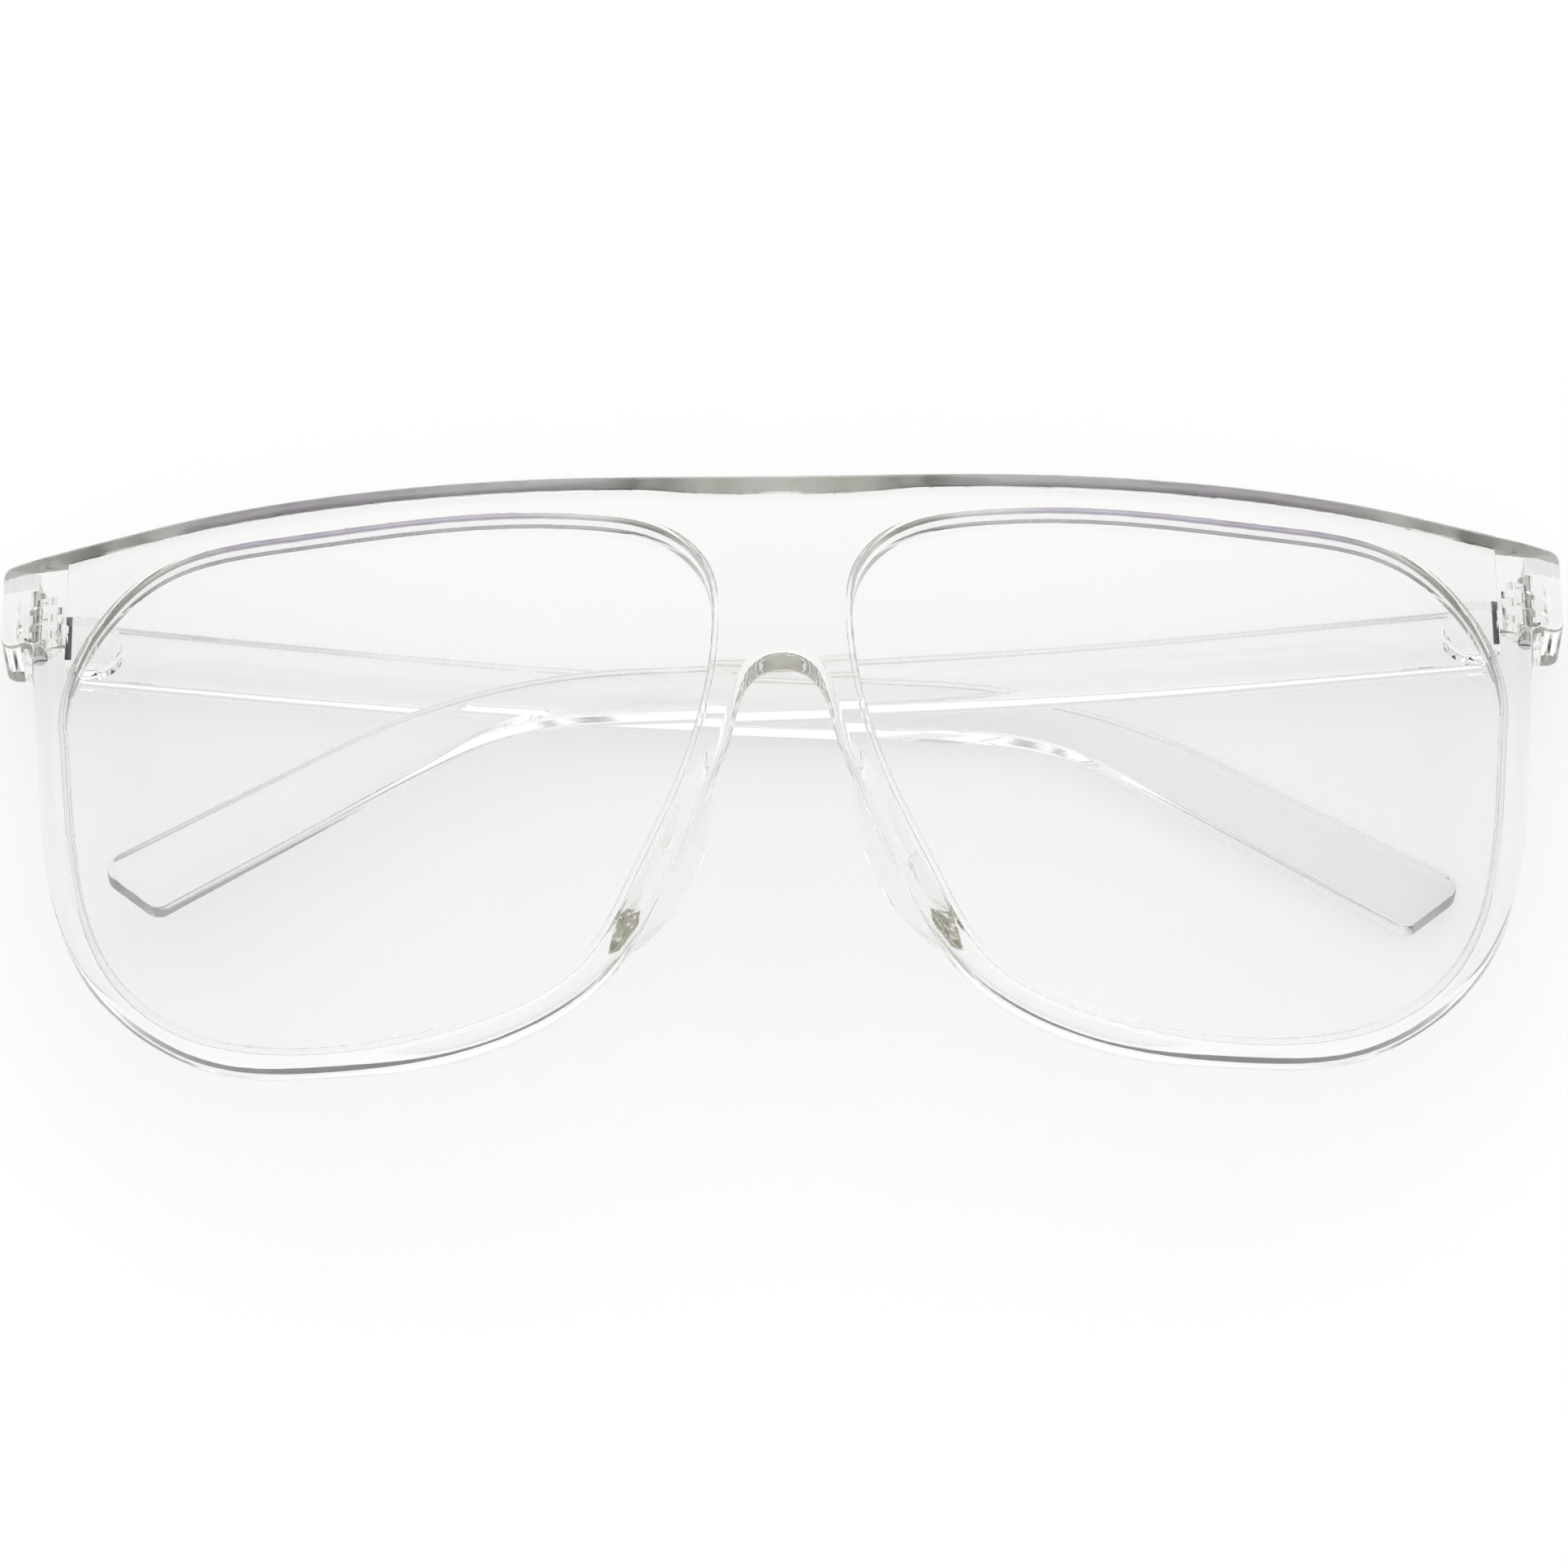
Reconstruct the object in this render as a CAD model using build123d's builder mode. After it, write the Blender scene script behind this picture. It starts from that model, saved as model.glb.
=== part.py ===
import os
from math import asin, cos, degrees, sin, sqrt

from build123d import *

# Flat top sunglasses, folded and lying on their back with the front facing up.
# X runs across the face, Y from the lower rims to the top bar, Z up from the table.
# A depth is measured down from the front face of the bridge, and level() turns it into Z.

# Lens openings
lens_width = 61.4
lens_height = 55.8
lens_gap_half = 6.6
lens_thickness = 1.6
lens_recess = 1.2
lens_seat_depth = 0.6
lens_seat_clearance = 0.05

# Front
bar_height = 3.9
rim_bottom_width = 2.1
rim_side_width = 3.1
rim_thickness = 3.6
bridge_thickness = 4.3
bridge_thick_half = 6.0
bridge_fade = 7.0
bridge_flat_half = 14.0
front_curve_radius = 150.0
nose_arch_top = 11.0
nose_arch_half_width = 3.3
nose_shoulder_drop = 1.9
front_edge_round = 0.7
rear_edge_round = 0.9
opening_edge_round = 0.3

# End pieces
end_drop = 1.8
end_height = 9.0
end_step = 0.7
end_corner_round = 1.2
end_underside_round = 1.0
end_wall = 3.45
end_floor = 1.1
end_block_inset = 2.8

# Hinges
pin_offset = 3.0
leaf_radius = 1.9
frame_leaf = 0.9
leaf_slot = 0.95
leaf_clearance = 0.08
barrel_clearance = 0.3
screw_radius = 0.6
frame_bore_clearance = 0.02
temple_bore_clearance = 0.05
screw_head_radius = 1.0
screw_head_height = 0.6
screw_head_clearance = 0.05
screw_bite = 1.6
driver_slot_width = 0.35
driver_slot_depth = 0.3
stop_depth = 2.5
stop_gap = 0.15

# Temples
temple_reach = 136.0
temple_drop = 31.5
temple_thickness = 3.0
temple_outer = 4.0
temple_bow_radius = 650.0
temple_bend_outer_radius = 60.0
temple_bend_inner_radius = 25.0
tip_round = 1.6
temple_edge_round = 0.7
fold_gap = 0.35
boss_inner = 1.6
boss_length = 4.95
boss_half_height = 2.4
boss_below_hinge = 1.9
leaf_root = 5.0

# Nose pads, moulded on the rear of the nose sides
pad_inset = 1.5
pad_bow = 1.0
pad_width = 2.6
pad_depth = 8.0
pad_reach = 2.3
pad_bite = 0.5

# How far a cutting shape runs past what it cuts
overrun = 2.0

# Points round a lens opening, from its outer side down, as shares of its half width and half height
opening_shares = [
    (1.0, 0.36),
    (0.938, -0.222),
    (0.814, -0.616),
    (0.56, -0.889),
    (0.166, -1.0),
    (-0.274, -0.935),
    (-0.586, -0.745),
    (-0.762, -0.383),
    (-0.883, -0.068),
    (-0.95, 0.17),
    (-1.0, 0.584),
    (-0.977, 0.76),
    (-0.886, 0.889),
    (-0.606, 0.982),
    (-0.173, 1.0),
    (0.329, 0.985),
    (0.739, 0.917),
    (0.893, 0.762),
    (0.967, 0.617),
]
# Points down the outer edge of a rim, from the outer side to the nose, as shares of the rim's half sizes
rim_shares = [
    (1.0, 0.38),
    (0.946, -0.185),
    (0.822, -0.562),
    (0.64, -0.8),
    (0.41, -0.955),
    (0.14, -0.997),
    (-0.192, -0.983),
    (-0.444, -0.878),
    (-0.639, -0.692),
    (-0.796, -0.367),
    (-0.891, -0.078),
    (-0.96, 0.16),
]
# Points of the top edge from the middle outwards, as shares of the front's half width and half height
top_edge_shares = [(0.0, 0.996), (0.27, 0.999), (0.58, 0.9965), (0.76, 0.982), (0.9, 0.96)]

# Corners of a temple's outline, as shares of its reach and its drop, before they are rounded
temple_upper_shares = [(0.356, -0.092), (0.7375, -0.1765), (1.0, -0.844)]
temple_lower_shares = [(0.956, -1.0), (0.7125, -0.33), (0.331, -0.2635)]
temple_root_upper_share = 0.07
temple_root_lower_share = -0.133
# Where a nose pad starts and ends on its rim
pad_upper_share = (-0.96, 0.16)
pad_lower_share = (-0.639, -0.692)
# The sections of a pad from its base to its crest: height, length and width
pad_section_shares = [(0.0, 0.95, 1.0), (0.5, 0.7, 0.9), (0.84, 0.5, 0.68), (1.0, 0.36, 0.3)]
# Points round one section, along the pad and across it
pad_outline_shares = [
    (1.0, 0.0),
    (0.72, 0.8),
    (0.0, 1.0),
    (-0.72, 0.8),
    (-1.0, 0.0),
    (-0.72, -0.8),
    (0.0, -1.0),
    (0.72, -0.8),
]

# Worked out from the sizes above
front_half_height = (lens_height + bar_height + rim_bottom_width) / 2
lens_middle_x = lens_gap_half + lens_width / 2
lens_middle_y = front_half_height - bar_height - lens_height / 2
pin_x = lens_gap_half + lens_width + pin_offset
front_half_width = pin_x + temple_outer
end_top = front_half_height - end_drop
end_bottom = end_top - end_height
hinge_height = 3 * frame_leaf + 2 * leaf_slot
hinge_bottom = end_bottom + end_floor
hinge_top = hinge_bottom + hinge_height
hinge_middle_y = (hinge_bottom + hinge_top) / 2
temple_inner = temple_outer - temple_thickness
fold_lean = asin((temple_thickness + fold_gap) / (2 * pin_x))
low_corner = (Align.MIN, Align.MIN)


def curve_depth(x):
    # How far the front face has bent back at a distance from the middle
    run = max(x - bridge_flat_half, 0)
    return front_curve_radius - sqrt(front_curve_radius**2 - run**2)


pin_depth = curve_depth(pin_x) + end_wall + barrel_clearance + leaf_radius
stack_height = pin_depth + temple_outer * cos(fold_lean) + temple_reach * sin(fold_lean)


def level(depth):
    return stack_height - depth


def across(y):
    return Plane(origin=(0, y, 0), x_dir=(1, 0, 0), z_dir=(0, -1, 0))


def lens_point(share, grow):
    half_x = lens_width / 2 + grow
    half_y = lens_height / 2 + grow
    return (lens_middle_x + share[0] * half_x, lens_middle_y + share[1] * half_y)


def rim_point(share):
    half_x = lens_width / 2 + rim_side_width
    half_y = lens_height / 2 + rim_bottom_width
    return (lens_middle_x + share[0] * half_x, lens_middle_y + share[1] * half_y)


def curved_band(near_depth, far_depth):
    # Half the section of a sheet that is flat over the bridge and bends back beyond it
    centre = (bridge_flat_half, level(front_curve_radius))
    end_run = front_half_width - bridge_flat_half + overrun
    ends = []
    with BuildLine() as band:
        for depth in (near_depth, far_depth):
            radius = front_curve_radius - depth
            bend = CenterArc(centre, radius, 90, -degrees(asin(end_run / radius)))
            Line((0, level(depth)), bend @ 0)
            ends.append(bend @ 1)
        Line(ends[0], ends[1])
        Line((0, level(near_depth)), (0, level(far_depth)))
    return band


def opening_curve(grow):
    with BuildLine() as curve:
        Spline([lens_point(share, grow) for share in opening_shares], periodic=True)
    return curve


def make_bent_plug(near_depth, far_depth, grow):
    # What fills both lens openings between two depths
    with BuildPart() as plug:
        with BuildSketch(across(0)):
            add(curved_band(near_depth, far_depth).line)
            make_face()
            mirror(about=Plane.YZ)
        extrude(amount=front_half_height + overrun, both=True)
        with BuildSketch(Plane.XY):
            add(opening_curve(grow).line)
            make_face()
            mirror(about=Plane.YZ)
        extrude(amount=stack_height + overrun, mode=Mode.INTERSECT)
    return plug


def make_front_outline():
    top = [(x * front_half_width, y * front_half_height) for x, y in top_edge_shares]
    top.append((front_half_width, end_top))
    step_x = lens_middle_x + lens_width / 2 + rim_side_width + end_step
    rim = [rim_point(share) for share in rim_shares]
    shoulder = (nose_arch_half_width, nose_arch_top - nose_shoulder_drop)
    with BuildSketch() as outline:
        with BuildLine():
            Spline(top, tangents=[(1, 0), (1, -end_drop / end_height)])
            Polyline((front_half_width, end_top), (front_half_width, end_bottom), (step_x, end_bottom))
            Spline(
                [(step_x, end_bottom)] + rim + [shoulder, (0, nose_arch_top)],
                tangents=[(0, -1), (-1, 0)],
            )
            Line((0, nose_arch_top), top[0])
        make_face()
        outer_corners = outline.vertices().group_by(Axis.X)[-1]
        fillet(outer_corners, end_corner_round)
        inner_corner = outline.vertices().sort_by_distance((step_x, end_bottom))[0]
        fillet(inner_corner, end_underside_round)
        mirror(about=Plane.YZ)
    return outline


def leaf_plan(outer_x):
    # A frame leaf seen along the pin: its round end, its root in front and its butt behind
    with Locations((pin_x, level(pin_depth))):
        Circle(leaf_radius)
    with Locations((pin_x - leaf_radius, level(pin_depth))):
        Rectangle(outer_x - pin_x + leaf_radius, leaf_radius + barrel_clearance + end_wall / 3, align=low_corner)
    with Locations((pin_x, level(pin_depth + stop_depth))):
        Rectangle(outer_x - pin_x, stop_depth, align=low_corner)


def make_temple():
    # A right-hand temple, folded square to the front
    along = Vector(-1, 0, 0)
    outward = Vector(0, 0, -1)
    pin = Vector(pin_x, 0, level(pin_depth))
    side_view = Plane(origin=pin, x_dir=along, z_dir=outward)
    root = stop_depth + stop_gap
    root_upper = (root, hinge_middle_y + temple_root_upper_share * temple_drop)
    root_lower = (root, hinge_middle_y + temple_root_lower_share * temple_drop)
    corners = [
        (across_share * temple_reach, hinge_middle_y + drop_share * temple_drop)
        for across_share, drop_share in temple_upper_shares + temple_lower_shares
    ]
    upper_rounds = [temple_bow_radius, temple_bend_outer_radius, tip_round]
    lower_rounds = [tip_round, temple_bend_inner_radius, temple_bow_radius]
    with BuildPart() as temple:
        with BuildSketch(side_view.offset(temple_inner)):
            with BuildLine():
                FilletPolyline(root_upper, *corners, root_lower, radius=upper_rounds + lower_rounds)
                Line(root_lower, root_upper)
            make_face()
        extrude(amount=temple_thickness)
        long_edges = temple.edges().filter_by(lambda edge: abs(edge.tangent_at(0.5).dot(outward)) < 0.5)
        fillet(long_edges, temple_edge_round)
        # The round-ended block on the inner side, next to the hinge
        boss_y = hinge_middle_y - boss_below_hinge
        boss_straight = boss_length - boss_half_height
        with BuildSketch(side_view.offset(-boss_inner)):
            with Locations((root + boss_straight, boss_y)):
                Circle(boss_half_height)
            with Locations((root, boss_y - boss_half_height)):
                Rectangle(boss_straight, 2 * boss_half_height, align=low_corner)
        extrude(amount=boss_inner + temple_inner + temple_thickness / 2)
        # The two hinge leaves
        for number in range(2):
            slot_top = hinge_top - frame_leaf - number * (frame_leaf + leaf_slot)
            leaf_top = slot_top - leaf_clearance
            with BuildSketch(Plane(origin=pin + Vector(0, leaf_top, 0), x_dir=along, z_dir=(0, -1, 0))):
                Circle(leaf_radius)
                with BuildLine():
                    Polyline(
                        (0, -leaf_radius),
                        (root, -leaf_radius),
                        (leaf_root, temple_inner),
                        (leaf_root, temple_inner + temple_thickness / 2),
                        (root, temple_inner + temple_thickness / 2),
                        (root, leaf_radius),
                        (0, leaf_radius),
                        close=True,
                    )
                make_face()
            extrude(amount=leaf_slot - 2 * leaf_clearance)
        with BuildSketch(Plane(origin=pin + Vector(0, hinge_top, 0), x_dir=along, z_dir=(0, -1, 0))):
            Circle(screw_radius + temple_bore_clearance)
        extrude(amount=hinge_height, mode=Mode.SUBTRACT)
    return temple


outline = make_front_outline()
groove = make_bent_plug(
    lens_recess - lens_seat_clearance,
    lens_recess + lens_thickness + lens_seat_clearance,
    lens_seat_depth,
)
lenses = make_bent_plug(lens_recess, lens_recess + lens_thickness, lens_seat_depth - lens_seat_clearance)
pocket_depth = pin_depth - leaf_radius - barrel_clearance
pocket_outer_x = pin_x + leaf_radius + barrel_clearance
block_inner_x = pin_x - end_block_inset
back_depth = pin_depth + stop_depth

# The bent sheet of the front, with a thicker bridge
with BuildPart() as sheet:
    with BuildSketch(across(0)):
        add(curved_band(0, rim_thickness).line)
        make_face()
        with BuildLine():
            Polyline(
                (0, level(rim_thickness / 2)),
                (bridge_thick_half + bridge_fade, level(rim_thickness / 2)),
                (bridge_thick_half + bridge_fade, level(rim_thickness)),
                (bridge_thick_half, level(bridge_thickness)),
                (0, level(bridge_thickness)),
                close=True,
            )
        make_face()
        mirror(about=Plane.YZ)
    extrude(amount=front_half_height + overrun, both=True)
    with BuildSketch(Plane.XY):
        add(outline.sketch)
    extrude(amount=stack_height + overrun, mode=Mode.INTERSECT)
    rim_walls = sheet.faces().filter_by(lambda face: abs(face.normal_at(face.center()).Z) < 0.01)
    wall_edges = ShapeList()
    for wall in rim_walls:
        wall_edges += [edge for edge in wall.edges() if abs((edge @ 1 - edge @ 0).normalized().Z) < 0.9]
    wall_edges = ShapeList(set(wall_edges))
    front_edges = wall_edges.filter_by(
        lambda edge: (edge @ 0.5).Z > level(curve_depth(abs((edge @ 0.5).X)) + rim_thickness / 2)
    )
    rear_edges = ShapeList([edge for edge in wall_edges if edge not in front_edges])
    fillet(front_edges, front_edge_round)
    fillet(rear_edges, rear_edge_round)

# The end blocks behind the sheet, which reach back to the plane where an open temple stops
with BuildPart() as end_blocks:
    with BuildSketch(across(end_bottom)):
        with BuildLine():
            Polyline(
                (block_inner_x, level(curve_depth(block_inner_x) + rim_thickness / 2)),
                (block_inner_x, level(pocket_depth)),
                (pin_x, level(pocket_depth)),
                (pin_x, level(back_depth)),
                (front_half_width + overrun, level(back_depth)),
                (front_half_width + overrun, level(curve_depth(front_half_width) + rim_thickness / 2)),
                close=True,
            )
        make_face()
        mirror(about=Plane.YZ)
    extrude(amount=end_height + end_drop + overrun, dir=(0, 1, 0))
    with BuildSketch(Plane.XY):
        add(outline.sketch)
    extrude(amount=stack_height + overrun, mode=Mode.INTERSECT)

# One nose pad, lofted from the rear of its rim towards the nose, with its middle bowed inwards
pad_upper = Vector(*rim_point(pad_upper_share))
pad_lower = Vector(*rim_point(pad_lower_share))
pad_run = (pad_lower - pad_upper).length
pad_along = (pad_lower - pad_upper).normalized()
pad_inward = Vector(pad_along.Y, -pad_along.X, 0)
pad_middle = (pad_upper + pad_lower) * 0.5 - pad_inward * pad_inset
pad_start = rim_thickness - pad_bite
with BuildPart() as nose_pad:
    for height_share, length_share, width_share in pad_section_shares:
        middle = pad_middle + pad_inward * (pad_reach * height_share)
        middle += Vector(0, 0, level(pad_start + (pad_depth - pad_start) * height_share))
        half_run = pad_run * length_share / 2
        half_width = pad_width * width_share / 2
        section = [
            (along * half_run, across_pad * half_width - pad_bow * length_share * (1 - along**2))
            for along, across_pad in pad_outline_shares
        ]
        with BuildSketch(Plane(origin=middle, x_dir=pad_along, z_dir=(0, 0, 1))):
            with BuildLine():
                Spline(section, periodic=True)
            make_face()
    loft()

with BuildPart() as frame_front:
    add(sheet.part)
    add(end_blocks.part)
    # The lens openings and the grooves round them
    with BuildSketch(Plane.XY):
        add(opening_curve(0).line)
        make_face()
        mirror(about=Plane.YZ)
    extrude(amount=stack_height + overrun, mode=Mode.SUBTRACT)
    opening_edges = frame_front.edges(Select.LAST).filter_by(
        lambda edge: (edge @ 0.5).Z > level(curve_depth(abs((edge @ 0.5).X)) + opening_edge_round)
    )
    fillet(opening_edges, opening_edge_round)
    add(groove.part, mode=Mode.SUBTRACT)
    # The hinge pockets, each with three leaves
    with BuildSketch(across(hinge_bottom)):
        with BuildLine():
            Polyline(
                (block_inner_x - overrun, level(pocket_depth)),
                (pocket_outer_x, level(pocket_depth)),
                (pocket_outer_x, level(back_depth + overrun)),
                (block_inner_x - overrun, level(back_depth + overrun)),
                close=True,
            )
        make_face()
        mirror(about=Plane.YZ)
    extrude(amount=hinge_height, dir=(0, 1, 0), mode=Mode.SUBTRACT)
    for number in range(3):
        with BuildSketch(across(hinge_bottom + number * (frame_leaf + leaf_slot))):
            leaf_plan(pin_x + leaf_radius)
            mirror(about=Plane.YZ)
        extrude(amount=frame_leaf, dir=(0, 1, 0))
    # The screw bores, with a recess for each head
    with BuildSketch(across(end_bottom - overrun)):
        with Locations((pin_x, level(pin_depth)), (-pin_x, level(pin_depth))):
            Circle(screw_radius + frame_bore_clearance)
    extrude(amount=overrun + end_floor + hinge_height + screw_bite, dir=(0, 1, 0), mode=Mode.SUBTRACT)
    with BuildSketch(across(end_bottom - overrun)):
        with Locations((pin_x, level(pin_depth)), (-pin_x, level(pin_depth))):
            Circle(screw_head_radius + screw_head_clearance)
    extrude(amount=overrun + screw_head_height, dir=(0, 1, 0), mode=Mode.SUBTRACT)
    add(nose_pad.part)
    mirror(nose_pad.part, about=Plane.YZ)

with BuildPart() as lens_right:
    add(lenses.part)
    split(bisect_by=Plane.YZ)

with BuildPart() as lens_left:
    mirror(lens_right.part, about=Plane.YZ)

temple = make_temple()
hinge_axis = Axis((pin_x, 0, level(pin_depth)), (0, 1, 0))

with BuildPart() as temple_right:
    add(temple.part.rotate(hinge_axis, degrees(fold_lean)))

with BuildPart() as temple_left:
    mirror(temple.part.rotate(hinge_axis, -degrees(fold_lean)), about=Plane.YZ)

with BuildPart() as hinge_screw_right:
    with BuildSketch(across(end_bottom)):
        with Locations((pin_x, level(pin_depth))):
            Circle(screw_head_radius)
    extrude(amount=screw_head_height, dir=(0, 1, 0))
    with BuildSketch(across(end_bottom + screw_head_height)):
        with Locations((pin_x, level(pin_depth))):
            Circle(screw_radius)
    extrude(amount=end_floor + hinge_height + screw_bite - screw_head_height - leaf_clearance, dir=(0, 1, 0))
    with BuildSketch(across(end_bottom)):
        with Locations((pin_x, level(pin_depth))):
            Rectangle(2 * screw_head_radius + overrun, driver_slot_width)
    extrude(amount=driver_slot_depth, dir=(0, 1, 0), mode=Mode.SUBTRACT)

with BuildPart() as hinge_screw_left:
    mirror(hinge_screw_right.part, about=Plane.YZ)

os.makedirs("parts", exist_ok=True)
frame_front.part.label = "frame_front"
export_step(frame_front.part, "parts/frame_front.step")
lens_right.part.label = "lens_right"
export_step(lens_right.part, "parts/lens_right.step")
lens_left.part.label = "lens_left"
export_step(lens_left.part, "parts/lens_left.step")
temple_right.part.label = "temple_right"
export_step(temple_right.part, "parts/temple_right.step")
temple_left.part.label = "temple_left"
export_step(temple_left.part, "parts/temple_left.step")
hinge_screw_right.part.label = "hinge_screw_right"
export_step(hinge_screw_right.part, "parts/hinge_screw_right.step")
hinge_screw_left.part.label = "hinge_screw_left"
export_step(hinge_screw_left.part, "parts/hinge_screw_left.step")
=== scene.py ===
from math import cos, radians, sin

import bmesh
import bpy
from mathutils import Matrix, Vector


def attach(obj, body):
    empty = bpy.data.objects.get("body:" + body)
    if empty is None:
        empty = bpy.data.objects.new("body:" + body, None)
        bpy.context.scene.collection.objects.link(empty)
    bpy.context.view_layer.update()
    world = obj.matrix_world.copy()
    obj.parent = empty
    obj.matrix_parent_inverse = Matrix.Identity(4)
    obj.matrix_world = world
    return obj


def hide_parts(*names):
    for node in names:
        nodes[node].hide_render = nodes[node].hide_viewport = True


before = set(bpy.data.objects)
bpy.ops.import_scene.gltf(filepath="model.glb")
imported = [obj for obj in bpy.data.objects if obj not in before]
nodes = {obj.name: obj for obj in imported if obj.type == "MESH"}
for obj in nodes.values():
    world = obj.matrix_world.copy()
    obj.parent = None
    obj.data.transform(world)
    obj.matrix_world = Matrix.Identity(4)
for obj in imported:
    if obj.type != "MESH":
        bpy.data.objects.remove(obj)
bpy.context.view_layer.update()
scene = bpy.context.scene
scene.view_settings.view_transform = "Standard"
print("frame loaded:", sorted(nodes))

# Camera, on the photograph's line of sight
camera = {
    "focal": 169.8,
    "sensor": 36.0,
    "place": (0.0, -0.3464, 0.6182),
    "look": (0.0, 0.5, -0.8660254),
    "roll": 0.0105,
    "clipStart": 0.01,
    "clipEnd": 20.0,
}


def makeCamera():
    data = bpy.data.cameras.new("camera")
    data.lens = camera["focal"]
    data.sensor_width = camera["sensor"]
    data.clip_start = camera["clipStart"]
    data.clip_end = camera["clipEnd"]
    eye = bpy.data.objects.new("camera", data)
    scene.collection.objects.link(eye)
    ahead = Vector(camera["look"]).normalized()
    level = Vector((1.0, 0.0, 0.0))
    up = level.cross(ahead)
    turn = camera["roll"]
    right = level * cos(turn) - up * sin(turn)
    top = level * sin(turn) + up * cos(turn)
    axes = Matrix((right, top, -ahead)).transposed()
    eye.rotation_mode = "QUATERNION"
    eye.rotation_quaternion = axes.to_quaternion()
    eye.location = camera["place"]
    scene.camera = eye


makeCamera()
print("camera placed")


def addNode(tree, kind, **values):
    node = tree.nodes.new(kind)
    for key, value in values.items():
        setattr(node, key, value)
    return node


def colourRamp(tree, value, stops):
    ramp = addNode(tree, "ShaderNodeValToRGB")
    elements = ramp.color_ramp.elements
    while len(elements) < len(stops):
        elements.new(0.5)
    for element, (at, colour) in zip(elements, stops):
        element.position = at
        element.color = (*colour, 1.0)
    tree.links.new(value, ramp.inputs["Fac"])
    return ramp.outputs["Color"]


def mapRange(tree, value, fromSpan=(0.0, 1.0), toSpan=(0.0, 1.0), kind="LINEAR"):
    change = addNode(tree, "ShaderNodeMapRange", interpolation_type=kind)
    change.inputs["From Min"].default_value, change.inputs["From Max"].default_value = fromSpan
    change.inputs["To Min"].default_value, change.inputs["To Max"].default_value = toSpan
    tree.links.new(value, change.inputs["Value"])
    return change.outputs[0]


# Studio: a white table, one big soft lamp overhead and the room around it
studio = {
    "tableSize": 4.0,
    "tableColour": (0.64, 0.64, 0.64, 1.0),
    "tableGlow": 0.52,
    "lampSize": 2.4,
    "lampPlace": (0.0, 0.15, 1.3),
    "lampPower": 4.0,
    "bounces": 24,
    "glossBounces": 16,
}


def seenDirectly(tree):
    # 1 for what the camera, a reflection or a refraction sees, 0 for what lights the object
    path = addNode(tree, "ShaderNodeLightPath")
    first = addNode(tree, "ShaderNodeMath", operation="MAXIMUM")
    second = addNode(tree, "ShaderNodeMath", operation="MAXIMUM")
    tree.links.new(path.outputs["Is Camera Ray"], first.inputs[0])
    tree.links.new(path.outputs["Is Glossy Ray"], first.inputs[1])
    tree.links.new(first.outputs[0], second.inputs[0])
    tree.links.new(path.outputs["Is Transmission Ray"], second.inputs[1])
    return path, second


def makeTable():
    material = bpy.data.materials.new("tablePaper")
    material.use_nodes = True
    tree = material.node_tree
    tree.nodes.clear()
    output = addNode(tree, "ShaderNodeOutputMaterial")
    paper = addNode(tree, "ShaderNodeBsdfDiffuse")
    paper.inputs["Color"].default_value = studio["tableColour"]
    glow = addNode(tree, "ShaderNodeEmission")
    both = addNode(tree, "ShaderNodeAddShader")
    path, seen = seenDirectly(tree)
    level = addNode(tree, "ShaderNodeMath", operation="MULTIPLY")
    level.inputs[1].default_value = studio["tableGlow"]
    tree.links.new(seen.outputs[0], level.inputs[0])
    tree.links.new(level.outputs[0], glow.inputs["Strength"])
    tree.links.new(paper.outputs[0], both.inputs[0])
    tree.links.new(glow.outputs[0], both.inputs[1])
    tree.links.new(both.outputs[0], output.inputs["Surface"])
    mesh = bpy.data.meshes.new("table")
    half = studio["tableSize"] / 2
    corners = [(-half, -half, 0), (half, -half, 0), (half, half, 0), (-half, half, 0)]
    mesh.from_pydata(corners, [], [(0, 1, 2, 3)])
    table = bpy.data.objects.new("table", mesh)
    mesh.materials.append(material)
    scene.collection.objects.link(table)


# The room: its fill lights the object, its two rings and ceiling are what reflections and
# refractions see, from the viewer's side (0) to the far side (1)
room = {
    "fill": 0.68,
    "lowRing": [
        (0.0, (0.97, 0.97, 0.96)),
        (0.35, (0.8, 0.8, 0.8)),
        (0.5, (0.6, 0.6, 0.61)),
        (1.0, (0.88, 0.88, 0.89)),
    ],
    "highRing": [
        (0.0, (0.52, 0.51, 0.45)),
        (0.35, (0.42, 0.41, 0.38)),
        (0.65, (0.56, 0.55, 0.58)),
        (1.0, (0.82, 0.81, 0.84)),
    ],
    "highRingStart": (0.3, 0.5),
    "ceilingStart": (0.6, 0.95),
    "white": (1.0, 1.0, 1.0, 1.0),
}


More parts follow.
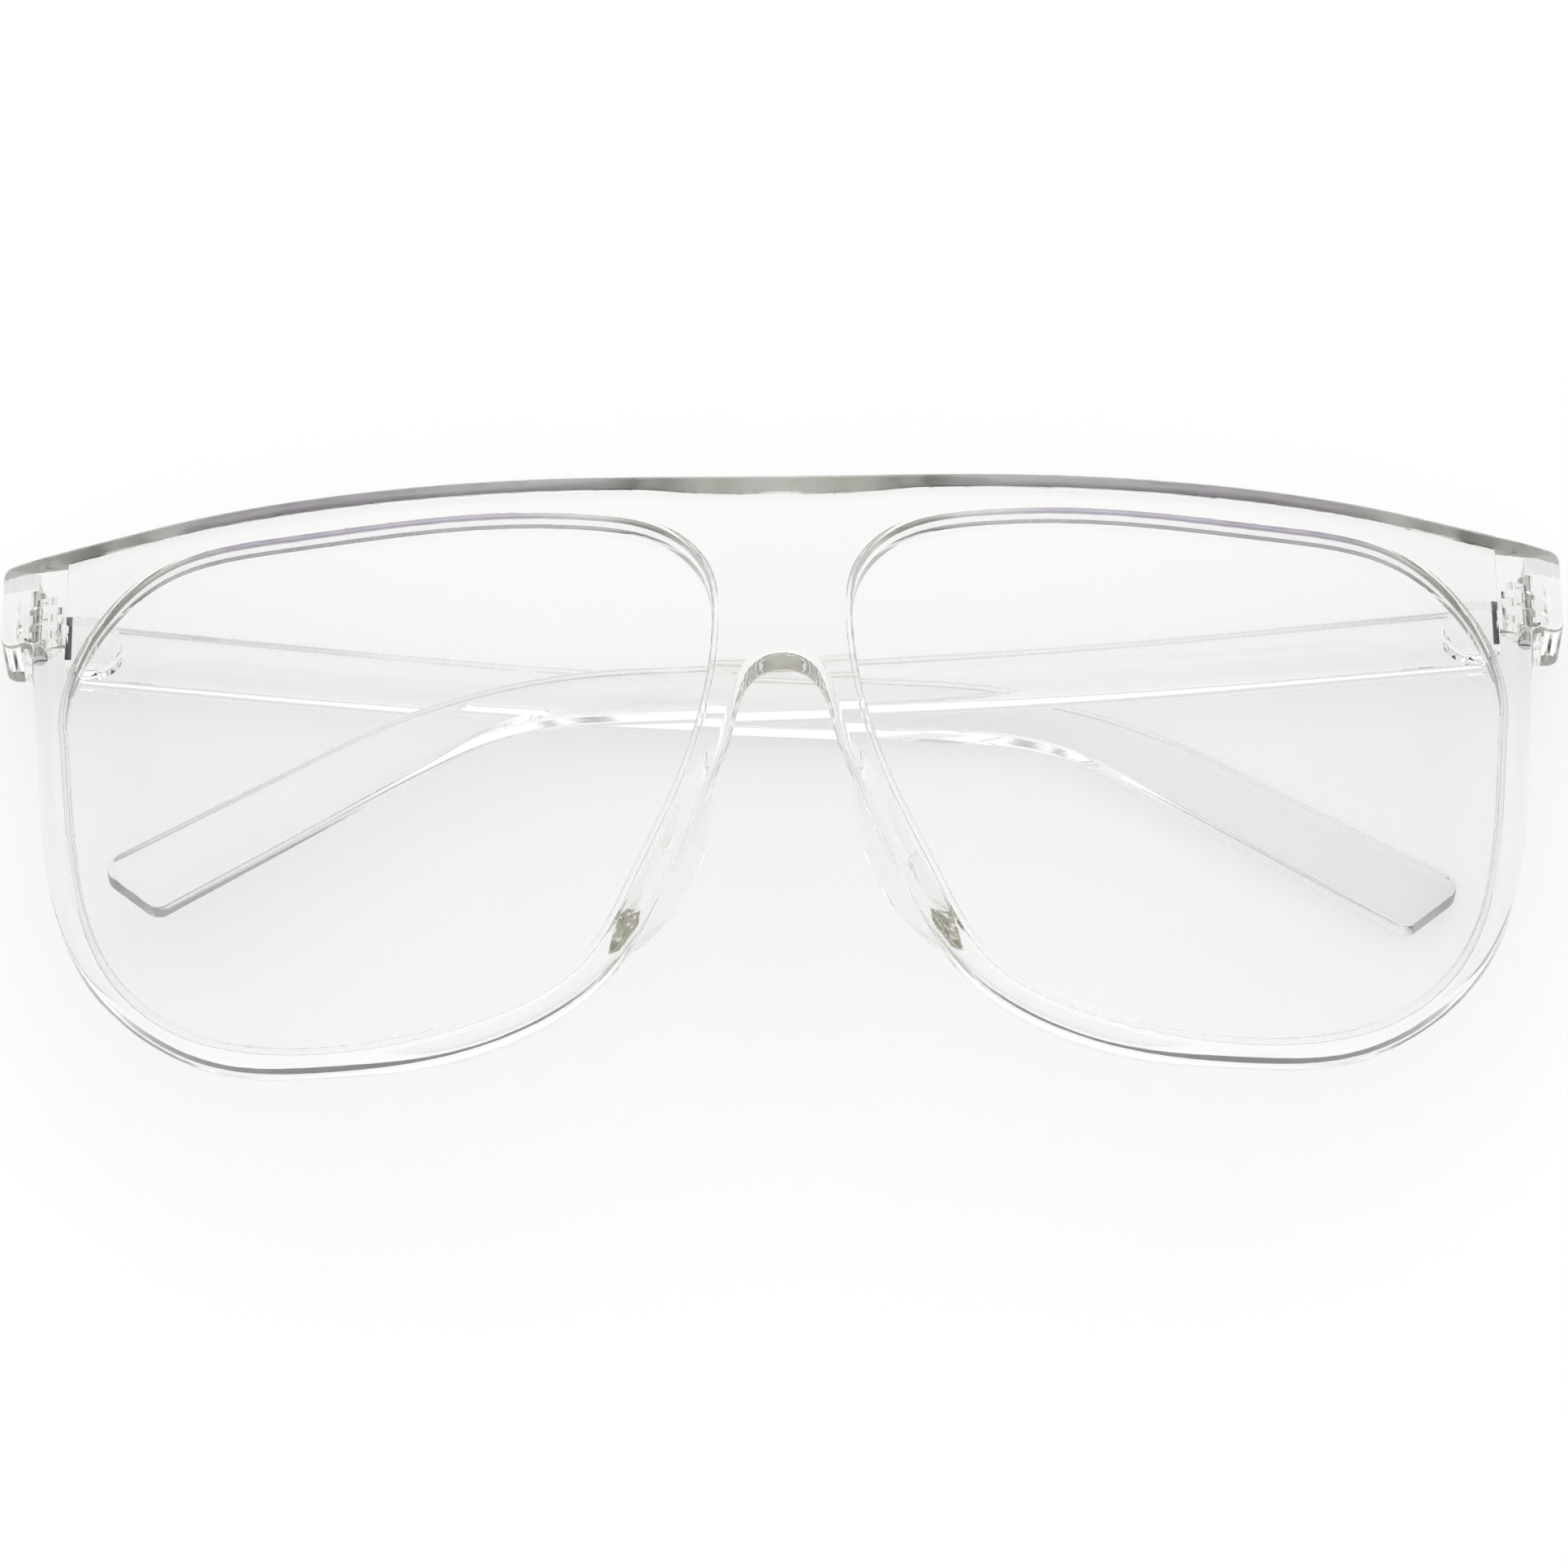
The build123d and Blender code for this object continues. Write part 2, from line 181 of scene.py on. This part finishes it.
def makeRoom():
    world = bpy.data.worlds.new("room")
    scene.world = world
    world.use_nodes = True
    tree = world.node_tree
    tree.nodes.clear()
    output = addNode(tree, "ShaderNodeOutputWorld")
    fill = addNode(tree, "ShaderNodeBackground")
    fill.inputs["Color"].default_value = room["white"]
    fill.inputs["Strength"].default_value = room["fill"]
    around = addNode(tree, "ShaderNodeBackground")
    backdrop = addNode(tree, "ShaderNodeBackground")
    backdrop.inputs["Color"].default_value = room["white"]
    place = addNode(tree, "ShaderNodeTexCoord")
    split = addNode(tree, "ShaderNodeSeparateXYZ")
    tree.links.new(place.outputs["Generated"], split.inputs[0])
    across = mapRange(tree, split.outputs["Y"], (-1.0, 1.0))
    toHigh = mapRange(tree, split.outputs["Z"], room["highRingStart"], kind="SMOOTHSTEP")
    toCeiling = mapRange(tree, split.outputs["Z"], room["ceilingStart"], kind="SMOOTHSTEP")
    rings = addNode(tree, "ShaderNodeMixRGB")
    whole = addNode(tree, "ShaderNodeMixRGB")
    whole.inputs["Color2"].default_value = room["white"]
    tree.links.new(toHigh, rings.inputs["Fac"])
    tree.links.new(colourRamp(tree, across, room["lowRing"]), rings.inputs["Color1"])
    tree.links.new(colourRamp(tree, across, room["highRing"]), rings.inputs["Color2"])
    tree.links.new(toCeiling, whole.inputs["Fac"])
    tree.links.new(rings.outputs[0], whole.inputs["Color1"])
    tree.links.new(whole.outputs[0], around.inputs["Color"])
    path, seen = seenDirectly(tree)
    lit = addNode(tree, "ShaderNodeMixShader")
    shown = addNode(tree, "ShaderNodeMixShader")
    tree.links.new(seen.outputs[0], lit.inputs["Fac"])
    tree.links.new(fill.outputs[0], lit.inputs[1])
    tree.links.new(around.outputs[0], lit.inputs[2])
    tree.links.new(path.outputs["Is Camera Ray"], shown.inputs["Fac"])
    tree.links.new(lit.outputs[0], shown.inputs[1])
    tree.links.new(backdrop.outputs[0], shown.inputs[2])
    tree.links.new(shown.outputs[0], output.inputs["Surface"])


def makeLamp():
    data = bpy.data.lights.new("softbox", "AREA")
    data.shape = "SQUARE"
    data.size = studio["lampSize"]
    data.energy = studio["lampPower"]
    lamp = bpy.data.objects.new("softbox", data)
    lamp.location = studio["lampPlace"]
    lamp.visible_glossy = False
    scene.collection.objects.link(lamp)


makeTable()
makeRoom()
makeLamp()
scene.cycles.max_bounces = studio["bounces"]
scene.cycles.transmission_bounces = studio["bounces"]
scene.cycles.glossy_bounces = studio["glossBounces"]
print("studio ready")


def newBody(name):
    # A material with one shader body, and the object's own coordinates for its patterns
    material = bpy.data.materials.new(name)
    material.use_nodes = True
    tree = material.node_tree
    tree.nodes.clear()
    output = addNode(tree, "ShaderNodeOutputMaterial")
    body = addNode(tree, "ShaderNodeBsdfPrincipled")
    tree.links.new(body.outputs[0], output.inputs["Surface"])
    place = addNode(tree, "ShaderNodeTexCoord")
    return material, tree, output, body, place.outputs["Object"]


def addNoise(tree, where, scale, detail):
    noise = addNode(tree, "ShaderNodeTexNoise")
    noise.inputs["Scale"].default_value = scale
    noise.inputs["Detail"].default_value = detail
    tree.links.new(where, noise.inputs["Vector"])
    return noise.outputs["Fac"]


def addBump(tree, height, distance):
    bump = addNode(tree, "ShaderNodeBump")
    bump.inputs["Distance"].default_value = distance
    tree.links.new(height, bump.inputs["Height"])
    return bump


# Clear moulded plastic of the front
frontPlastic = {
    "colour": (0.994, 0.994, 0.992, 1.0),
    "index": 1.49,
    "smoothest": 0.0,
    "dullest": 0.06,
    "rippleScale": 70.0,
    "rippleDepth": 0.00002,
    "fineScale": 2600.0,
    "fineDepth": 0.0000012,
    "absorbColour": (0.88, 0.875, 0.8, 1.0),
    "absorbDensity": 26.0,
}
# The temples' plastic, a little paler
templePlastic = {
    **frontPlastic,
    "absorbColour": (0.92, 0.915, 0.88, 1.0),
    "absorbDensity": 12.0,
}
# Lens plastic, with a faint cool tint
lensPlastic = {
    "colour": (0.992, 0.994, 1.0, 1.0),
    "index": 1.5,
    "smoothest": 0.0,
    "dullest": 0.02,
    "rippleScale": 30.0,
    "rippleDepth": 0.00001,
    "fineScale": 3000.0,
    "fineDepth": 0.0000004,
    "absorbColour": (0.9, 0.92, 0.98, 1.0),
    "absorbDensity": 14.0,
}
# The lenses' ground edge, half matt, and with painted shade: coloured darker than the faces as the
# dark line along the lens edge
shadedLensEdge = {
    "colour": (0.3, 0.28, 0.35, 1.0),
    "index": 1.5,
    "smoothest": 0.3,
    "dullest": 0.55,
    "rippleScale": 900.0,
    "rippleDepth": 0.000004,
    "fineScale": 9000.0,
    "fineDepth": 0.000002,
}
# What all the clear finishes share
clearGrain = {
    "rippleDetail": 2.0,
    "fineDetail": 4.0,
    "glossFrom": (0.35, 0.75),
}


def clearMaterial(name, settings):
    material, tree, output, body, where = newBody(name)
    body.inputs["Base Color"].default_value = settings["colour"]
    body.inputs["IOR"].default_value = settings["index"]
    body.inputs["Transmission Weight"].default_value = 1.0
    ripple = addNoise(tree, where, settings["rippleScale"], clearGrain["rippleDetail"])
    fine = addNoise(tree, where, settings["fineScale"], clearGrain["fineDetail"])
    shine = (settings["smoothest"], settings["dullest"])
    tree.links.new(mapRange(tree, ripple, clearGrain["glossFrom"], shine), body.inputs["Roughness"])
    wave = addBump(tree, ripple, settings["rippleDepth"])
    grain = addBump(tree, fine, settings["fineDepth"])
    tree.links.new(wave.outputs[0], grain.inputs["Normal"])
    tree.links.new(grain.outputs[0], body.inputs["Normal"])
    if "absorbColour" in settings:
        absorb = addNode(tree, "ShaderNodeVolumeAbsorption")
        absorb.inputs["Color"].default_value = settings["absorbColour"]
        absorb.inputs["Density"].default_value = settings["absorbDensity"]
        tree.links.new(absorb.outputs[0], output.inputs["Volume"])
    return material


# The upper walls of the lens openings and the top wall, which light runs along, carry painted shade
# and painted highlights: dark bands and near-white streaks in a half-clear finish, where refraction
# shows dark and bright. The tones run from the middle of the front to its ends.
paintedWallShade = {
    "axis": "X",
    "span": (0.0, 0.075),
    "tones": [
        (0.0, (1.0, 0.99, 0.93)),
        (0.115, (0.97, 0.96, 0.89)),
        (0.15, (0.42, 0.41, 0.36)),
        (0.19, (0.5, 0.49, 0.44)),
        (0.225, (1.0, 1.0, 0.99)),
        (0.28, (1.0, 1.0, 1.0)),
        (0.33, (0.82, 0.76, 0.86)),
        (0.5, (0.74, 0.68, 0.79)),
        (0.7, (0.72, 0.66, 0.77)),
        (0.79, (0.74, 0.72, 0.66)),
        (0.86, (0.36, 0.35, 0.31)),
        (0.92, (0.6, 0.59, 0.52)),
        (1.0, (0.8, 0.79, 0.73)),
    ],
    "clearShare": 0.4,
    "index": 1.49,
    "smoothest": 0.1,
    "dullest": 0.28,
    "grainScale": 160.0,
    "grainDetail": 3.0,
    "shadeMottleFrom": (0.3, 0.7),
    "shadeMottle": (0.84, 1.08),
}
# The temple tips' end walls, with painted shade in grey tones from the lower corner to the upper
# one, darkest towards the upper corner
paintedTipShade = {
    **paintedWallShade,
    "axis": "Y",
    "span": (-0.012, 0.0),
    "tones": [
        (0.0, (0.8, 0.8, 0.78)),
        (0.35, (0.6, 0.6, 0.58)),
        (0.6, (0.34, 0.345, 0.335)),
        (1.0, (0.5, 0.51, 0.49)),
    ],
    "clearShare": 0.5,
}


# Painted shade and painted highlights: tones along one axis, mottled by noise, as the base colour
# of a partly clear finish
def paintedShadeMaterial(name, settings):
    material, tree, output, body, where = newBody(name)
    body.inputs["IOR"].default_value = settings["index"]
    body.inputs["Transmission Weight"].default_value = settings["clearShare"]
    grain = addNoise(tree, where, settings["grainScale"], settings["grainDetail"])
    split = addNode(tree, "ShaderNodeSeparateXYZ")
    tree.links.new(where, split.inputs[0])
    along = split.outputs[settings["axis"]]
    if settings["axis"] == "X":  # both halves of the front alike
        mirrored = addNode(tree, "ShaderNodeMath", operation="ABSOLUTE")
        tree.links.new(along, mirrored.inputs[0])
        along = mirrored.outputs[0]
    tones = colourRamp(tree, mapRange(tree, along, settings["span"]), settings["tones"])
    shadeMottle = mapRange(tree, grain, settings["shadeMottleFrom"], settings["shadeMottle"])
    mixed = addNode(tree, "ShaderNodeMixRGB", blend_type="MULTIPLY", use_clamp=True)
    mixed.inputs["Fac"].default_value = 1.0
    tree.links.new(tones, mixed.inputs["Color1"])
    tree.links.new(shadeMottle, mixed.inputs["Color2"])
    tree.links.new(mixed.outputs[0], body.inputs["Base Color"])
    shine = (settings["smoothest"], settings["dullest"])
    tree.links.new(mapRange(tree, grain, toSpan=shine), body.inputs["Roughness"])
    return material


# Steel of the hinge screws
steel = {
    "colour": (0.62, 0.61, 0.6, 1.0),
    "brushScale": 9000.0,
    "brushDetail": 3.0,
    "brushDepth": 0.000004,
    "smoothest": 0.22,
    "dullest": 0.4,
}


def steelMaterial(name):
    material, tree, output, body, where = newBody(name)
    body.inputs["Base Color"].default_value = steel["colour"]
    body.inputs["Metallic"].default_value = 1.0
    brush = addNoise(tree, where, steel["brushScale"], steel["brushDetail"])
    shine = (steel["smoothest"], steel["dullest"])
    tree.links.new(mapRange(tree, brush, toSpan=shine), body.inputs["Roughness"])
    bump = addBump(tree, brush, steel["brushDepth"])
    tree.links.new(bump.outputs[0], body.inputs["Normal"])
    return material


# How a node's shape is merged and shaded
finish = {
    "merge": 0.000001,
    "shortest": 0.0000001,
    "sharpAngle": 35,
    "flatWeight": 100,
}


def smoothPiece(node, name, body, material, reshape=None):
    # A merged and smoothly shaded copy of a node's shape, which stands in for it
    mesh = nodes[node].data.copy()
    mesh.name = name
    shape = bmesh.new()
    shape.from_mesh(mesh)
    bmesh.ops.remove_doubles(shape, verts=shape.verts, dist=finish["merge"])
    bmesh.ops.dissolve_degenerate(shape, edges=shape.edges, dist=finish["shortest"])
    if reshape:
        reshape(shape)
    bmesh.ops.recalc_face_normals(shape, faces=shape.faces)
    shape.to_mesh(mesh)
    shape.free()
    shading = ("custom_normal", "sharp_edge", "sharp_face")
    for layer in [a.name for a in mesh.attributes if a.name in shading]:
        mesh.attributes.remove(mesh.attributes[layer])
    mesh.shade_smooth()
    mesh.set_sharp_from_angle(angle=radians(finish["sharpAngle"]))
    mesh.materials.clear()
    mesh.materials.append(material)
    piece = bpy.data.objects.new(name, mesh)
    scene.collection.objects.link(piece)
    weigh = piece.modifiers.new("flatFacesStayFlat", "WEIGHTED_NORMAL")
    weigh.keep_sharp = True
    weigh.weight = finish["flatWeight"]
    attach(piece, body)
    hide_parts(node)
    print("piece", name, len(mesh.vertices), "points")
    return piece


def finishFaces(piece, material, chosen):
    # A second material, on the faces that chosen picks
    piece.data.materials.append(material)
    for face in piece.data.polygons:
        if chosen(face):
            face.material_index = 1


# The front face's own bend, and its top wall, which leans in towards the rear as a moulding's
# draft. The wall lies above lowest; what is within wallBand of its line leans with it, and the
# lean fades out down to fadeBand.
draft = {
    "faceHeight": 0.0241094,
    "flatHalf": 0.014,
    "bendRadius": 0.15,
    "wallDepth": 0.0036,
    "lean": 0.24,
    "lowest": 0.026,
    "wallBand": 0.0008,
    "fadeBand": 0.0022,
    "places": 76,
    "placesPerMetre": 1000,
}


def faceDepth(x, z):
    # How far a point lies below the bent front face
    run = max(abs(x) - draft["flatHalf"], 0.0)
    bend = draft["bendRadius"] - (draft["bendRadius"] ** 2 - run**2) ** 0.5
    return draft["faceHeight"] - bend - z


def wallHeight(line, x):
    # The wall's height at x, between the nearest places of its line
    near = min(range(len(line)), key=lambda k: abs(line[k][0] - x))
    other = min(max(near + (1 if x > line[near][0] else -1), 0), len(line) - 1)
    span = line[other][0] - line[near][0]
    height = line[near][1]
    if span:
        height += (line[other][1] - line[near][1]) * (x - line[near][0]) / span
    return height


def draftTopWall(shape):
    # The wall's line is read from the shape, so that the whole band below it moves alike
    highest = [0.0] * draft["places"]
    for point in shape.verts:
        if point.co.y > draft["lowest"]:
            place = min(round(abs(point.co.x) * draft["placesPerMetre"]), draft["places"] - 1)
            highest[place] = max(highest[place], point.co.y)
    line = [(k / draft["placesPerMetre"], y) for k, y in enumerate(highest) if y > 0]
    for point in shape.verts:
        x, y, z = point.co
        below = wallHeight(line, abs(x)) - y
        share = 1 - (below - draft["wallBand"]) / (draft["fadeBand"] - draft["wallBand"])
        if share > 0:
            depth = min(max(faceDepth(x, z), 0.0), draft["wallDepth"])
            point.co.y -= draft["lean"] * depth * min(share, 1.0)


# Which of the front's faces get the painted shade and highlights: how upright they are, and how
# deep below the face
walls = {
    "steepest": 0.35,
    "openingFrom": 0.00012,
    "openingTo": 0.0013,
    "openingLowest": -0.019,
    "noseHalf": 0.0062,
    "lensMiddle": (0.0373, -0.0009),
    "topFacing": 0.6,
    "topTo": 0.0037,
}


def hasPaintedShade(face):
    if abs(face.normal.z) > walls["steepest"]:
        return False
    x, y, z = face.center
    depth = faceDepth(x, z)
    toLens = Vector((walls["lensMiddle"][0] - abs(x), walls["lensMiddle"][1] - y))
    facing = Vector((face.normal.x if x > 0 else -face.normal.x, face.normal.y))
    inOpening = walls["openingFrom"] < depth < walls["openingTo"] and abs(x) > walls["noseHalf"]
    overLens = inOpening and facing.dot(toLens) > 0 and y > walls["openingLowest"]
    onTop = face.normal.y > walls["topFacing"] and y > draft["lowest"] and depth < walls["topTo"]
    return overLens or onTop


# The front, with painted shade and highlights on its top wall and the upper walls of its openings
front = smoothPiece(
    "frame_front", "frontClear", "front", clearMaterial("frameClear", frontPlastic), draftTopWall
)
finishFaces(front, paintedShadeMaterial("wallPaintedShade", paintedWallShade), hasPaintedShade)

# Each side's lens, temple and screw. The lens' ground edge and the tip's end wall, both coloured
# with painted shade, are told by how upright they are, the tip's also by where it is and which way
# it faces.
sides = {
    "edgeSteepest": 0.45,
    "tipFrom": 0.056,
    "tipFacing": 0.35,
    "tipSteepest": 0.35,
}
templeClear = clearMaterial("templeClear", templePlastic)
lensClear = clearMaterial("lensClear", lensPlastic)
lensGroundAndShade = clearMaterial("lensGroundAndShade", shadedLensEdge)
tipPaintedShade = paintedShadeMaterial("tipPaintedShade", paintedTipShade)
screwSteel = steelMaterial("screwSteel")


def isGroundShadedEdge(face):
    return abs(face.normal.z) < sides["edgeSteepest"]


def isTipEnd(face, outward):
    atTip = face.center.x * outward > sides["tipFrom"]
    faces = face.normal.x * outward > sides["tipFacing"]
    return atTip and faces and abs(face.normal.z) < sides["tipSteepest"]


# A folded temple's tip lies towards the other side
for side, outward in (("left", 1), ("right", -1)):
    lens = smoothPiece("lens_" + side, "lensClear_" + side, "front", lensClear)
    finishFaces(lens, lensGroundAndShade, isGroundShadedEdge)
    body = "temple_" + side
    temple = smoothPiece(body, "templeClear_" + side, body, templeClear)
    finishFaces(temple, tipPaintedShade, lambda face: isTipEnd(face, outward))
    smoothPiece("hinge_screw_" + side, "screwTurned_" + side, "front", screwSteel)
print("pieces ready")
